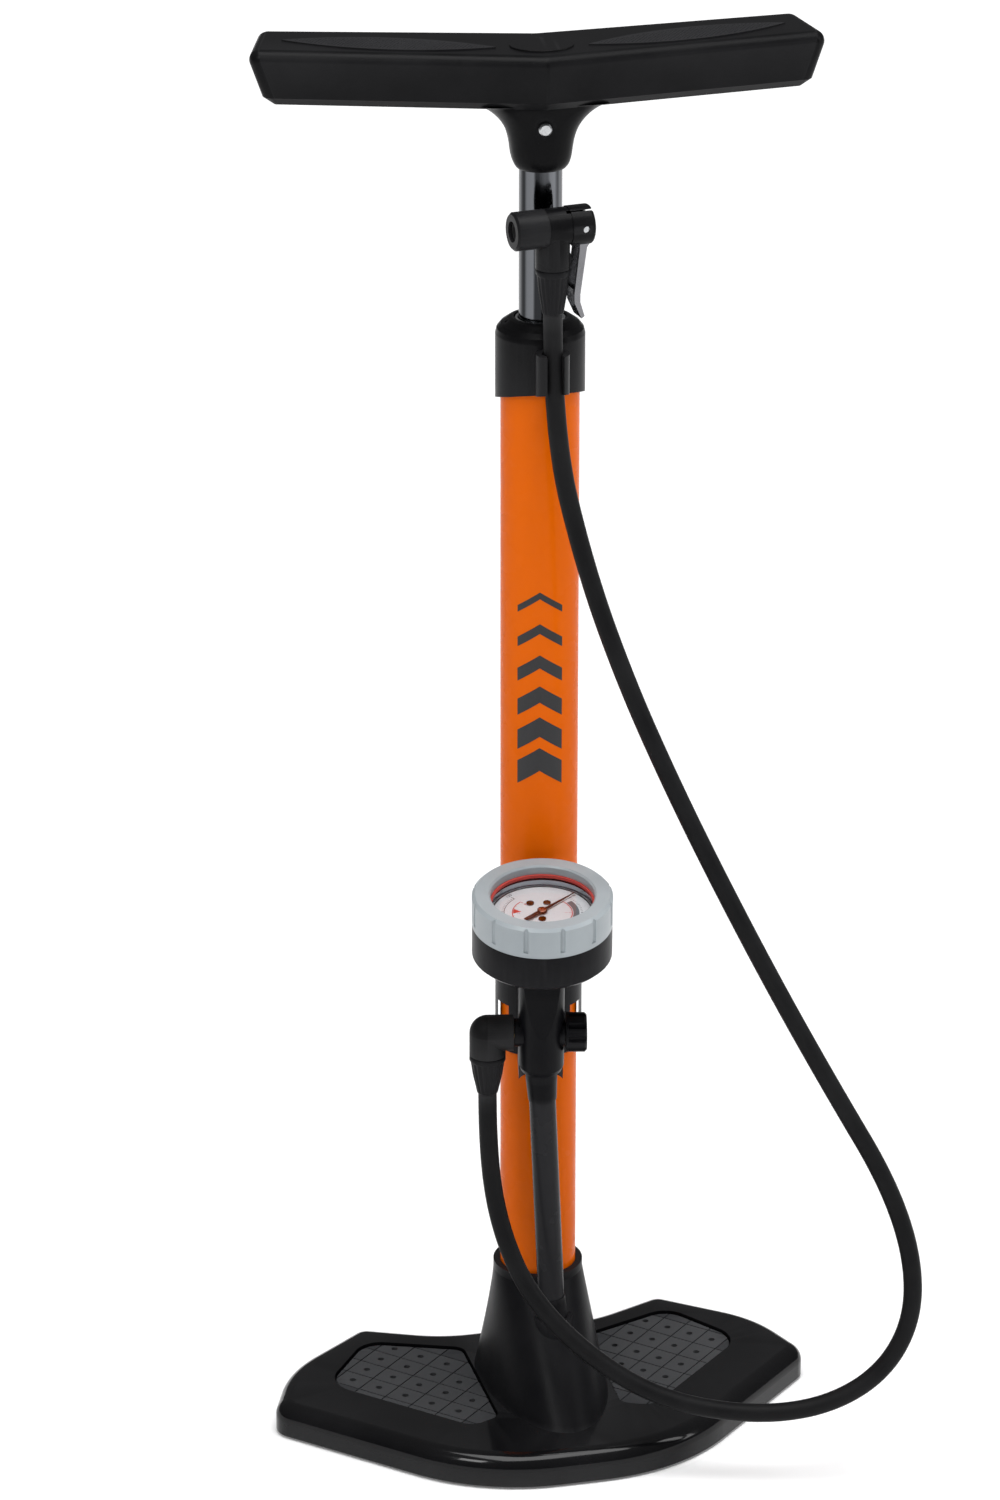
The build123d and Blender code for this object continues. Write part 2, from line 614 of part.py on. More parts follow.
with BuildPart() as air_pipe:
    add(ring(pipe, pipe_r - 2.0, pipe_r, 24.1 - 58, pipe_length + 4))
save(air_pipe.part, "air_pipe")
save(spin(pipe, [(pipe_r + 0.05, -8), (7.1, -8), (7.1, -1), (6.5, 11), (pipe_r + 0.05, 11)]),
     "pipe_collar_bottom")
save(spin(pipe, [(pipe_r + 0.05, pipe_length - 15), (pipe_r + 0.4, pipe_length - 15), (7.2, pipe_length - 4),
                 (7.2, pipe_length + 4), (pipe_r + 0.05, pipe_length + 4)]), "pipe_collar_top")

# ---------------------------------------------------------------- valve head
cross = sideways(head)
with BuildPart() as head_body:
    add(ring(cross, 0, head_r, -4.2, 6.3))
    add(ring(cross, 0, 6.75, -7.6, -4.2))
    add(ring(cross, 0, hood_r, 6.3, hood_end))
    fillet(head_body.faces().sort_by(Axis(head.origin, head.x_dir))[-1].edges(), 1.6)
    add(ring(head, 0, 7.7, -18, 0))
    add(ring(cross, 6.75, head_r + 0.1, -20, -4.2), mode=Mode.SUBTRACT)
    add(slab(head, [(4.4, -4.9), (20, -4.9), (20, 4.9), (4.4, 4.9)], -12, 7.8), mode=Mode.SUBTRACT)
    add(ring(cross, 0, 3.5, -9, 6), mode=Mode.SUBTRACT)
    add(ring(head, 0, 2.2, -19, -3), mode=Mode.SUBTRACT)
    pin_plane = Plane(origin=head.from_local_coords(Vector(lever_pin_x, 0, 0)),
                      x_dir=head.x_dir, z_dir=-head.y_dir)
    with BuildSketch(pin_plane):
        Circle(1.5)
    extrude(amount=12, both=True, mode=Mode.SUBTRACT)
save(head_body.part, "head_body")

save(spin(cross, [(4.6, -19.0), (7.5, -19.0), (head_r, -18.0), (head_r, -4.3), (6.85, -4.3), (6.85, -17.2),
                  (4.6, -17.2)]), "head_cap")
save(ring(cross, 4.0, 6.8, -17.1, -8.0), "head_gasket")
save(ring(cross, 1.5, 3.42, -4.6, lever_pin_x - 4.8), "head_plunger")
save(ring(pin_plane, 0, 1.5, -8.2, 8.2), "lever_pin")

lever_width = 9.2
with BuildPart() as lever:
    with BuildSketch(pin_plane.offset(-lever_width / 2)):
        Circle(4.5)
        with Locations((0, 4.2)):
            Circle(3.1)
        with BuildLine():
            Polyline((-1.4, 0), (4.4, 0), (4.0, -6), (1.8, -9), (-1.2, -30), (-1.2, -33.5), (0.8, -40),
                     (-0.6, -41), (-3.8, -34), (-4.0, -30), (-1.6, -10), close=True)
        make_face()
    extrude(amount=lever_width)
    with BuildSketch(pin_plane.offset(-lever_width / 2 + 1.3)):
        with BuildLine():
            Polyline((-5, -8), (0.6, -9.5), (-2.2, -28), (-5, -28), close=True)
        make_face()
    extrude(amount=lever_width - 2.6, mode=Mode.SUBTRACT)
    with BuildSketch(pin_plane):
        Circle(1.55)
    extrude(amount=12, both=True, mode=Mode.SUBTRACT)
save(lever.part, "lever")

save(spin(head, [(2.0, -38.5), (hose_r + 0.55, -38.5), (7.6, -18.1), (2.0, -18.1)]), "upper_sleeve")

# ---------------------------------------------------------------- hose
points = [Vector(*p) for p in hose_route]
runs = [(b - a).length for a, b in zip(points, points[1:])]
radii = []
for a, b, c in zip(points, points[1:], points[2:]):
    turn = (b - a).get_angle(c - b)
    shorter = min((b - a).length, (c - b).length)
    radii.append(0.45 * shorter / tan(radians(turn / 2)))
print("hose runs ", [round(run, 1) for run in runs])
print("hose radii", [round(radius, 1) for radius in radii])

with BuildPart() as hose:
    with BuildLine() as hose_path:
        FilletPolyline(*hose_route, radius=radii)
    with BuildSketch(Plane(origin=hose_path.line @ 0, z_dir=hose_path.line % 0)):
        Circle(hose_r)
        Circle(hose_bore_r, mode=Mode.SUBTRACT)
    sweep()
save(hose.part, "hose")
hose_length = hose_path.wire().length
section = pi * (hose_r ** 2 - hose_bore_r ** 2)
print("hose length", round(hose_length, 1), "volume ratio",
      round(hose.part.volume / (section * hose_length), 4))
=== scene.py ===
"""The looks of a floor pump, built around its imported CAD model. Metres, in the model's own frame."""
import json
import math

import bpy
from mathutils import Matrix, Vector


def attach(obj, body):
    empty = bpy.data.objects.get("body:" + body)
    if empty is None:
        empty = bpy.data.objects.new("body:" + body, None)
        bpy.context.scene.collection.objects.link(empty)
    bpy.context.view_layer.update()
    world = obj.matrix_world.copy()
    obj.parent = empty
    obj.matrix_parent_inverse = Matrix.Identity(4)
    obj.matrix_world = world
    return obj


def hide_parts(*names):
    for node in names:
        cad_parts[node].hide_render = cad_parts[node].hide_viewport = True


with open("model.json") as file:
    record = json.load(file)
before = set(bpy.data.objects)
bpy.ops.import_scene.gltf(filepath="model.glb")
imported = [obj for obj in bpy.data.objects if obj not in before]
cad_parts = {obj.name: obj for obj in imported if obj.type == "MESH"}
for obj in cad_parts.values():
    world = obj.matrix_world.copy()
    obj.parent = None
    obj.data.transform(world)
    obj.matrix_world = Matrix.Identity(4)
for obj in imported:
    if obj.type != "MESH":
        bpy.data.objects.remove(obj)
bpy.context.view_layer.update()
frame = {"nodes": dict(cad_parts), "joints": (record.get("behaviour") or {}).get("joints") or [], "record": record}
nodes = frame["nodes"]
joints = {joint["name"]: joint for joint in frame["joints"]}
MM = 0.001

# ---------------------------------------------------------------- frames of the pump's parts


def basis(origin, x_dir, z_dir):
    """A matrix whose X and Z columns are those directions, placed at origin."""
    x_dir, z_dir = Vector(x_dir).normalized(), Vector(z_dir).normalized()
    y_dir = z_dir.cross(x_dir)
    matrix = Matrix((x_dir, y_dir, z_dir)).transposed().to_4x4()
    matrix.translation = Vector(origin)
    return matrix


needle_joint, knob_joint, lever_joint = joints["needle_sweep"], joints["knob_turn"], joints["lever_flip"]
NEEDLE_HEIGHT = 84.2 * MM         # of the needle joint, along the gauge's axis from the tee's foot
GAUGE_UP = -Vector(needle_joint["axis"])
GAUGE = basis(Vector(needle_joint["pos_m"]) - GAUGE_UP * NEEDLE_HEIGHT, knob_joint["axis"], GAUGE_UP)
LEVER_PIN_X = 12.2 * MM           # of the lever's pin, across from the valve head's axis
HEAD_ACROSS = Vector((0, 0, 1)).cross(Vector(lever_joint["axis"]))
HEAD = basis(Vector(lever_joint["pos_m"]) - HEAD_ACROSS * LEVER_PIN_X, HEAD_ACROSS, (0, 0, 1))
HANDLE_TURN = math.radians(-5.9)
HANDLE = Matrix.Rotation(HANDLE_TURN, 4, "Z")

# ---------------------------------------------------------------- camera
CAMERA_TURN = math.radians(-13.4)
CAMERA_PITCH = math.radians(22.0)
CAMERA_BACK, CAMERA_ASIDE, CAMERA_UP = 2.440, -0.0176, 1.3138      # m, before the turn
CAMERA_LENS = 140.2               # mm, on a 36 mm sensor


def add_camera():
    """The camera stands in front, a little to the left, and looks down at the pump."""
    camera = bpy.data.cameras.new("camera")
    camera.lens = CAMERA_LENS
    camera.sensor_width = 36
    camera.clip_end = 60
    holder = bpy.data.objects.new("camera", camera)
    bpy.context.scene.collection.objects.link(holder)
    place = Matrix.Rotation(CAMERA_TURN, 4, "Z") @ Vector((CAMERA_ASIDE, -CAMERA_BACK, CAMERA_UP))
    holder.location = place
    holder.rotation_euler = (math.pi / 2 - CAMERA_PITCH, 0, CAMERA_TURN)
    bpy.context.scene.camera = holder


add_camera()


# ---------------------------------------------------------------- material tools
class Shader:
    """A node material under construction, with short ways to add its usual nodes."""

    def __init__(self, name, colour, roughness, metallic=0.0, **sockets):
        self.material = bpy.data.materials.new(name)
        self.material.use_nodes = True
        self.tree = self.material.node_tree
        self.bsdf = self.tree.nodes["Principled BSDF"]
        self.bsdf.inputs["Base Color"].default_value = (*colour, 1)
        self.bsdf.inputs["Roughness"].default_value = roughness
        self.bsdf.inputs["Metallic"].default_value = metallic
        for socket, value in sockets.items():
            self.bsdf.inputs[socket.replace("_", " ")].default_value = value
        self.place = self.node("ShaderNodeTexCoord").outputs["Object"]
        self.height = None

    def node(self, kind, **settings):
        node = self.tree.nodes.new(kind)
        for name, value in settings.items():
            setattr(node, name, value)
        return node

    def link(self, a, b):
        self.tree.links.new(a, b)

    def stretch(self, scale):
        """Object coordinates scaled by three factors."""
        mapping = self.node("ShaderNodeMapping")
        mapping.inputs["Scale"].default_value = scale
        self.link(self.place, mapping.inputs["Vector"])
        return mapping.outputs["Vector"]

    def noise(self, scale, detail=4.0, stretch=None):
        noise = self.node("ShaderNodeTexNoise")
        noise.inputs["Scale"].default_value = scale
        noise.inputs["Detail"].default_value = detail
        self.link(self.stretch(stretch) if stretch else self.place, noise.inputs["Vector"])
        return noise.outputs["Fac"]

    def spread(self, source, low, high, out_low, out_high):
        """source between low and high becomes a value between out_low and out_high."""
        spread = self.node("ShaderNodeMapRange")
        ends = {"From Min": low, "From Max": high, "To Min": out_low, "To Max": out_high}
        for socket, value in ends.items():
            spread.inputs[socket].default_value = value
        self.link(source, spread.inputs["Value"])
        return spread.outputs["Result"]

    def tint(self, amount, dark, light):
        """The base colour runs from dark to light as amount goes from 0 to 1."""
        mix = self.node("ShaderNodeMix", data_type="RGBA")
        mix.inputs["A"].default_value = (*dark, 1)
        mix.inputs["B"].default_value = (*light, 1)
        self.link(amount, mix.inputs["Factor"])
        self.link(mix.outputs["Result"], self.bsdf.inputs["Base Color"])
        return mix

    def rough(self, source):
        self.link(source, self.bsdf.inputs["Roughness"])

    def bump(self, source, strength, distance):
        """One more layer of fine relief."""
        bump = self.node("ShaderNodeBump")
        bump.inputs["Strength"].default_value = strength
        bump.inputs["Distance"].default_value = distance
        self.link(source, bump.inputs["Height"])
        if self.height is not None:
            self.link(self.height, bump.inputs["Normal"])
        self.height = bump.outputs["Normal"]
        self.link(self.height, self.bsdf.inputs["Normal"])

    def edge_wear(self):
        """0 on flat stretches and 1 on sharp outer edges."""
        geometry = self.node("ShaderNodeNewGeometry")
        return self.spread(geometry.outputs["Pointiness"], 0.52, 0.60, 0.0, 1.0)


def moulded(name, colour, light, roughness, grain, relief, dust=0.3, **sockets):
    """Moulded plastic or rubber: fine grain, cloudy gloss, a little dust and paler worn edges."""
    shader = Shader(name, colour, roughness, **{"Specular_IOR_Level": 0.06, **sockets})
    cloud = shader.noise(38, 5)
    shader.rough(shader.spread(cloud, 0.3, 0.7, roughness - 0.05, roughness + 0.07))
    specks = shader.spread(shader.noise(1100, 2), 0.74, 0.80, 0.0, dust)
    wear = shader.spread(shader.edge_wear(), 0, 1, 0, 0.3)
    marks = shader.node("ShaderNodeMath", operation="MAXIMUM")
    shader.link(specks, marks.inputs[0])
    shader.link(wear, marks.inputs[1])
    shade = shader.node("ShaderNodeMath", operation="ADD")
    shader.link(marks.outputs["Value"], shade.inputs[0])
    shader.link(shader.spread(cloud, 0.35, 0.75, 0.0, 0.1), shade.inputs[1])
    shader.tint(shade.outputs["Value"], colour, light)
    shader.bump(shader.noise(grain, 3), 0.3, relief)
    return shader.material


def barrel_paint():
    """Gloss paint over a drawn tube: faint orange peel, a little drift in hue, a clear coat."""
    shader = Shader("barrel_paint", (0.87, 0.20, 0.004), 0.26, Coat_Weight=0.05, Coat_Roughness=0.05,
                    Specular_IOR_Level=0.03)
    drift = shader.noise(9, 3, (1, 1, 0.25))
    shader.tint(shader.spread(drift, 0.3, 0.7, 0, 1), (0.68, 0.108, 0.0008), (0.76, 0.135, 0.0018))
    shader.rough(shader.spread(shader.noise(60, 4), 0.3, 0.7, 0.2, 0.34))
    shader.bump(shader.noise(420, 2), 0.12, 0.0002)
    return shader.material


def metal(name, colour, roughness, brush=(1, 1, 1), brush_scale=300, relief=0.00004, reflection_band_colour=None):
    """Bare or plated metal with fine brushing and handling marks.

    Given a reflection band colour, it also gets long lengthwise bands that run between the two colours: painted
    reflection of studio lights.
    """
    shader = Shader(name, colour, roughness, metallic=1.0)
    streaks = shader.noise(brush_scale, 3, brush)
    shader.rough(shader.spread(streaks, 0.3, 0.7, roughness * 0.7, roughness * 1.5))
    if reflection_band_colour:
        # painted reflection: long light bands stand in for studio lights mirrored along the chrome
        shader.tint(shader.spread(shader.noise(230, 1, (1, 1, 0.006)), 0.42, 0.62, 0, 1), colour, reflection_band_colour)
    else:
        marks = shader.spread(shader.noise(26, 5), 0.3, 0.75, 0, 1)
        shader.tint(marks, tuple(0.82 * c for c in colour), colour)
    shader.bump(streaks, 0.25, relief)
    return shader.material


def clear_lens():
    """A clear moulded window: see-through, with a sheen that grows at low angles and faint smears."""
    shader = Shader("lens_clear", (0.97, 0.98, 0.99), 0.02)
    clear = shader.node("ShaderNodeBsdfTransparent")
    clear.inputs["Color"].default_value = (0.97, 0.98, 0.98, 1)
    sheen = shader.node("ShaderNodeBsdfGlossy")
    shader.link(shader.spread(shader.noise(60, 3), 0.4, 0.8, 0.01, 0.08), sheen.inputs["Roughness"])
    slant = shader.node("ShaderNodeLayerWeight")
    mix = shader.node("ShaderNodeMixShader")
    shader.link(shader.spread(slant.outputs["Facing"], 0.2, 1.0, 0.015, 0.2), mix.inputs["Fac"])
    shader.link(clear.outputs["BSDF"], mix.inputs[1])
    shader.link(sheen.outputs["BSDF"], mix.inputs[2])
    shader.link(mix.outputs["Shader"], shader.tree.nodes["Material Output"].inputs["Surface"])
    return shader.material


def bezel_grey():
    """Pale grey moulded plastic with a soft, faintly cloudy gloss."""
    shader = Shader("bezel_grey", (0.36, 0.40, 0.42), 0.34)
    cloud = shader.noise(30, 4)
    shader.tint(shader.spread(cloud, 0.3, 0.7, 0, 1), (0.29, 0.325, 0.345), (0.35, 0.385, 0.405))
    shader.rough(shader.spread(shader.noise(70, 4), 0.3, 0.7, 0.28, 0.42))
    shader.bump(shader.noise(1300, 2), 0.25, 0.00006)
    return shader.material


def print_ink(name, colour):
    """Printing ink: nearly flat, a little mottled."""
    shader = Shader(name, colour, 0.55)
    mottle = shader.spread(shader.noise(800, 3), 0.3, 0.7, 0, 1)
    shader.tint(mottle, tuple(0.85 * c for c in colour), colour)
    return shader.material


def floor_paper():
    """Pale paper, lit from within a little so that it reads as plain white, more so further off."""
    shader = Shader("floor_paper", (0.93, 0.93, 0.935), 0.75, Emission_Color=(1, 1, 1, 1),
                    Specular_IOR_Level=0.1)
    cloud = shader.spread(shader.noise(3, 3), 0.3, 0.7, 0, 1)
    shader.tint(cloud, (0.915, 0.915, 0.92), (0.94, 0.94, 0.945))
    distance = shader.node("ShaderNodeVectorMath", operation="LENGTH")
    shader.link(shader.place, distance.inputs[0])
    glow = shader.spread(distance.outputs["Value"], 0.5, 4.0, 0.12, 0.95)
    shader.link(glow, shader.bsdf.inputs["Emission Strength"])
    return shader.material


# the base colour, the paler worn or dusty colour, roughness, then the grain's fineness and depth
BLACK = (0.0032, 0.0032, 0.0036)
GREY_WEAR = (0.036, 0.036, 0.038)
MATERIALS = {
    "barrel_paint": barrel_paint(),
    "base_gloss": moulded("base_gloss", (0.003, 0.003, 0.0035), (0.03, 0.03, 0.032), 0.17, 700, 0.00004,
                          Coat_Weight=0.3, Coat_Roughness=0.07),
    "tread_rubber": moulded("tread_rubber", (0.032, 0.033, 0.036), (0.09, 0.092, 0.095),
                            0.62, 1500, 0.0002),
    "boot_satin": moulded("boot_satin", (0.006, 0.006, 0.007), GREY_WEAR, 0.36, 1100, 0.00012),
    "cap_satin": moulded("cap_satin", (0.0032, 0.0032, 0.0036), GREY_WEAR, 0.33, 1200, 0.0001),
    "handle_satin": moulded("handle_satin", BLACK, GREY_WEAR, 0.34, 1300, 0.0001),
    "grip_texture": moulded("grip_texture", (0.009, 0.009, 0.010), GREY_WEAR, 0.45, 1500, 0.0001),
    "gauge_black": moulded("gauge_black", (0.003, 0.003, 0.004), GREY_WEAR, 0.32, 1300, 0.0001),
    "black_moulding": moulded("black_moulding", (0.02, 0.02, 0.021), (0.08, 0.08, 0.08),
                              0.45, 1300, 0.0001),
    "pipe_black": moulded("pipe_black", (0.012, 0.012, 0.014), GREY_WEAR, 0.24, 900, 0.00004),
    "head_black": moulded("head_black", BLACK, GREY_WEAR, 0.27, 1200, 0.00008),
    "seal_rubber": moulded("seal_rubber", (0.02, 0.02, 0.02), (0.07, 0.07, 0.07), 0.6, 1500, 0.0001),
    "hose_rubber": moulded("hose_rubber", (0.006, 0.006, 0.0065), (0.06, 0.06, 0.062), 0.47, 1500, 0.00012),
    "gasket_red": moulded("gasket_red", (0.42, 0.035, 0.03), (0.6, 0.12, 0.1), 0.42, 1400, 0.00008,
                          dust=0.1),
    "dial_white": moulded("dial_white", (0.60, 0.60, 0.63), (0.66, 0.66, 0.68), 0.42, 900, 0.00003,
                          dust=0.0),
    "needle_dark": moulded("needle_dark", (0.02, 0.008, 0.008), (0.08, 0.05, 0.05), 0.4, 900, 0.00003,
                           dust=0.0),
    "bezel_grey": bezel_grey(),
    "lens_clear": clear_lens(),
    # the rod's chrome, with painted reflection in long light lengthwise bands
    "chrome_plate": metal("chrome_plate", (0.022, 0.023, 0.025), 0.14, (1, 1, 0.03), 260, 0.00003,
                          reflection_band_colour=(0.13, 0.135, 0.145)),
    "steel": metal("steel", (0.52, 0.53, 0.54), 0.26),
    "can_steel": metal("can_steel", (0.42, 0.43, 0.46), 0.18, (1, 1, 8)),
    "lever_steel": metal("lever_steel", (0.20, 0.20, 0.21), 0.20, (1, 1, 0.2)),
    "brass": metal("brass", (0.72, 0.47, 0.16), 0.24),
    "sleeve_rubber": moulded("sleeve_rubber", (0.010, 0.010, 0.011), (0.05, 0.05, 0.052),
                             0.42, 1500, 0.0001),
}
SLOT_OF = {part["node"]: part["material_slot"] for part in frame["record"]["subparts"]}
for name, node in nodes.items():
    node.data.materials.clear()
    node.data.materials.append(MATERIALS[SLOT_OF[name]])

# ---------------------------------------------------------------- hose
HOSE_DIAMETER = 8.5 * MM
HOSE_ROUTE = [                    # the CAD hose's own points, from the elbow to the valve head
    (-0.0329, -0.0377, 0.1790),
    (-0.0329, -0.0377, 0.1470),
    (-0.0288, -0.0460, 0.1120),
    (-0.0175, -0.0575, 0.0825),
    (0.0060, -0.0735, 0.0575),
    (0.0370, -0.0885, 0.0390),
    (0.0760, -0.1015, 0.0330),
    (0.1090, -0.1090, 0.0375),
    (0.1345, -0.1120, 0.0530),
    (0.1485, -0.1110, 0.0780),
    (0.1488, -0.1070, 0.1090),
    (0.1375, -0.1015, 0.1450),
    (0.1155, -0.0925, 0.1855),
    (0.0910, -0.0820, 0.2330),
    (0.0670, -0.0715, 0.2830),
    (0.0460, -0.0605, 0.3300),
    (0.0268, -0.0500, 0.3780),
    (0.0110, -0.0395, 0.4280),
    (-0.0010, -0.0268, 0.4880),
    (-0.0010, -0.0268, 0.5425),
]


def add_hose():
    """The hose: one smooth spline through its route, from the elbow's sleeve to the valve head's."""
    curve = bpy.data.curves.new("hose_run", "CURVE")
    curve.dimensions = "3D"
    spline = curve.splines.new("NURBS")
    spline.points.add(len(HOSE_ROUTE) - 1)
    for point, place in zip(spline.points, HOSE_ROUTE):
        point.co = (*place, 1)
    spline.order_u = 3
    spline.use_endpoint_u = True
    spline.resolution_u = 12
    curve.bevel_depth = HOSE_DIAMETER / 2
    curve.bevel_resolution = 7
    curve.use_fill_caps = True
    hose = bpy.data.objects.new("hose_run", curve)
    bpy.context.scene.collection.objects.link(hose)
    curve.materials.append(MATERIALS["hose_rubber"])
    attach(hose, "pump")
    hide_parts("hose")


add_hose()


# ---------------------------------------------------------------- mesh tools
def add_piece(name, points, faces, body, slot, material=None, smooth=True):
    """A mesh piece that rides a body and shows the given material, or else that of a record slot."""
    mesh = bpy.data.meshes.new(name)
    mesh.from_pydata([tuple(point) for point in points], [], faces)
    mesh.materials.append(material or MATERIALS[slot])
    mesh.polygons.foreach_set("use_smooth", [smooth] * len(mesh.polygons))
    piece = bpy.data.objects.new(name, mesh)
    bpy.context.scene.collection.objects.link(piece)
    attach(piece, body)
    return piece


class Shape:
    """Points and faces gathered from several small solids."""

    def __init__(self):
        self.points = []
        self.faces = []

    def sheet(self, rows, closed=False):
        """A skin over rows of points, each row as long as the next."""
        first, wide = len(self.points), len(rows[0])
        for row in rows:
            self.points.extend(row)
        for r in range(len(rows) - 1):
            for c in range(wide if closed else wide - 1):
                d = (c + 1) % wide
                a = first + r * wide
                self.faces.append((a + c, a + d, a + wide + d, a + wide + c))

    def plate(self, outline, place, low, high):
        """A flat convex plate with an upper face and a rim, in mm, set in place."""
        first, count = len(self.points), len(outline)
        for height in (low, high):
            self.points.extend(place @ Vector((x * MM, y * MM, height * MM)) for x, y in outline)
        self.faces.append(tuple(first + count + k for k in range(count)))
        self.faces.append(tuple(first + k for k in reversed(range(count))))
        for k in range(count):
            n = (k + 1) % count
            self.faces.append((first + k, first + n, first + count + n, first + count + k))


def arc_band(inner, outer, start, end, steps):
    """Quads, as outlines, that cover a ring between two angles in degrees."""
    quads = []
    for k in range(steps):
        a, b = (math.radians(start + (end - start) * f / steps) for f in (k, k + 1))
        corners = ((inner, a), (outer, a), (outer, b), (inner, b))
        quads.append([(radius * math.cos(angle), radius * math.sin(angle)) for radius, angle in corners])
    return quads


# ---------------------------------------------------------------- barrel graphic
BARREL_R = 17.5                   # mm, as are the sizes below
CHEVRON_FACING = math.radians(-103)
CHEVRON_THICKNESS = (11.0, 9.4, 7.8, 6.2, 4.6, 3.2)
CHEVRON_START, CHEVRON_PITCH = 318, 16.4
CHEVRON_HALF_WIDE, CHEVRON_RISE = 10.5, 7.0
PAINT_LOW, PAINT_HIGH = 0.03, 0.07


def add_barrel_graphic():
    """A ladder of black chevrons painted up the barrel above the gauge."""
    shape = Shape()
    steps = 10
    for k, thick in enumerate(CHEVRON_THICKNESS):
        base = CHEVRON_START + CHEVRON_PITCH * k
        rows = []
        for height, skin in ((0, PAINT_LOW), (0, PAINT_HIGH), (1, PAINT_HIGH), (1, PAINT_LOW)):
            row = []
            for c in range(-steps, steps + 1):
                across = CHEVRON_HALF_WIDE * c / steps
                angle = CHEVRON_FACING + across / BARREL_R
                z = base + CHEVRON_RISE * (1 - abs(c) / steps) + thick * height
                radius = BARREL_R + skin
                row.append(Vector((radius * math.cos(angle), radius * math.sin(angle), z)) * MM)
            rows.append(row)
        shape.sheet(rows)
    add_piece("barrel_graphic", shape.points, shape.faces, "pump", "gauge_black", INK_BLACK, smooth=False)


# ---------------------------------------------------------------- dial printing
DIAL_H = 83.0                     # mm, the dial's face along the gauge's axis
SCALE_START, SCALE_END = 45.0, -225.0      # degrees from the gauge's +X, going clockwise
INK_BLACK = print_ink("ink_black", (0.012, 0.012, 0.014))
INK_GREY = print_ink("ink_grey", (0.12, 0.13, 0.15))
INK_RED = print_ink("ink_red", (0.55, 0.02, 0.02))


def scale_angle(share):
    """The angle of a spot that lies this share of the way along the dial's scales."""
    return SCALE_START + (SCALE_END - SCALE_START) * share


def tick(radius, length, width, share):
    """The outline of a mark that runs outwards from radius."""
    angle = math.radians(scale_angle(share))
    out = Vector((math.cos(angle), math.sin(angle)))
    side = Vector((-out.y, out.x)) * (width / 2)
    a, b = out * radius, out * (radius + length)
    return [tuple(a - side), tuple(b - side), tuple(b + side), tuple(a + side)]


def add_dial_printing():
    """Two scales, one grey and one red, with ticks, a warning wedge and a dark rim."""
    black, grey, red = Shape(), Shape(), Shape()
    low, high = DIAL_H + 0.01, DIAL_H + 0.06

    def band(shape, inner, outer, start, end, steps):
        for quad in arc_band(inner, outer, scale_angle(start), scale_angle(end), steps):
            shape.plate(quad, GAUGE, low, high)

    band(black, 22.1, 22.95, 0.0, 4 / 3, 120)
    band(grey, 13.9, 16.6, 0.03, 0.27, 24)
    band(black, 16.95, 17.15, 0.27, 1.0, 70)
    band(red, 13.2, 13.6, 0.0, 1.0, 90)
    for k in range(61):
        major = k % 10 == 0
        black.plate(tick(17.15, 2.0 if major else 1.1, 0.28 if major else 0.14, k / 60), GAUGE, low, high)
    for k in range(31):
        major = k % 5 == 0
        red.plate(tick(12.0 if major else 12.6, 1.2 if major else 0.6, 0.22 if major else 0.12, k / 30),
                  GAUGE, low, high)
    wedge = []
    for radius, share in ((9.4, 0.86), (13.1, 0.83), (13.1, 0.85), (13.1, 0.87), (13.1, 0.89)):
        angle = math.radians(scale_angle(share))
        wedge.append((radius * math.cos(angle), radius * math.sin(angle)))
    red.plate(wedge, GAUGE, low, high)
    add_piece("dial_print_black", black.points, black.faces, "pump", "needle_dark", INK_BLACK, smooth=False)
    add_piece("dial_print_grey", grey.points, grey.faces, "pump", "needle_dark", INK_GREY, smooth=False)
    add_piece("dial_print_red", red.points, red.faces, "pump", "gasket_red", INK_RED, smooth=False)


def add_numeral(text, radius, share, size, ink, slot):
    """A figure on the dial, its head towards the rim."""
    angle = math.radians(scale_angle(share))
    curve = bpy.data.curves.new("figure", "FONT")
    curve.body = text
    curve.size = size * MM
    curve.align_x = "CENTER"
    curve.align_y = "CENTER"
    curve.resolution_u = 3
    curve.extrude = 0.02 * MM
    figure = bpy.data.objects.new("figure", curve)
    mesh = bpy.data.meshes.new_from_object(figure)
    bpy.data.objects.remove(figure)
    spot = Vector((radius * math.cos(angle), radius * math.sin(angle), DIAL_H + 0.04)) * MM
    mesh.transform(GAUGE @ Matrix.Translation(spot) @ Matrix.Rotation(angle - math.pi / 2, 4, "Z"))
    mesh.materials.clear()
    mesh.materials.append(ink)
    piece = bpy.data.objects.new(f"numeral_{slot}_{text}", mesh)
    bpy.context.scene.collection.objects.link(piece)
    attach(piece, "pump")


def add_numerals():
    """Black figures for the outer scale, 0 to 120, and red ones for the inner scale, 1 to 6."""
    for k in range(7):
        add_numeral(str(20 * k), 20.6, k / 6, 2.2, INK_BLACK, "needle_dark")
    for k in range(1, 7):
        add_numeral(str(k), 10.6, k / 6, 2.0, INK_RED, "gasket_red")


# ---------------------------------------------------------------- handle details
GRIP_TOP = 655.5                  # mm, as are the sizes below
GRIP_INNER_X, GRIP_LENGTH = 20, 90
DOT_PITCH, DOT_ROW_PITCH = 1.75, 1.5
DOT_RADIUS, DOT_HEIGHT = 0.55, 0.2


def add_grip_dots():
    """Small raised dots in rows over both grip panels."""
    for side, name in ((1, "grip_dots_right"), (-1, "grip_dots_left")):
        shape = Shape()
        for row in range(30):
            for column in range(60):
                x = GRIP_INNER_X + DOT_PITCH * (column + 0.5 * (row % 2))
                y = -6 + DOT_ROW_PITCH * row
                if inside_grip(x, y):
                    add_dot(shape, HANDLE, side * x, y, GRIP_TOP, DOT_RADIUS, DOT_HEIGHT)
        add_piece(name, shape.points, shape.faces, "handle", "grip_texture")


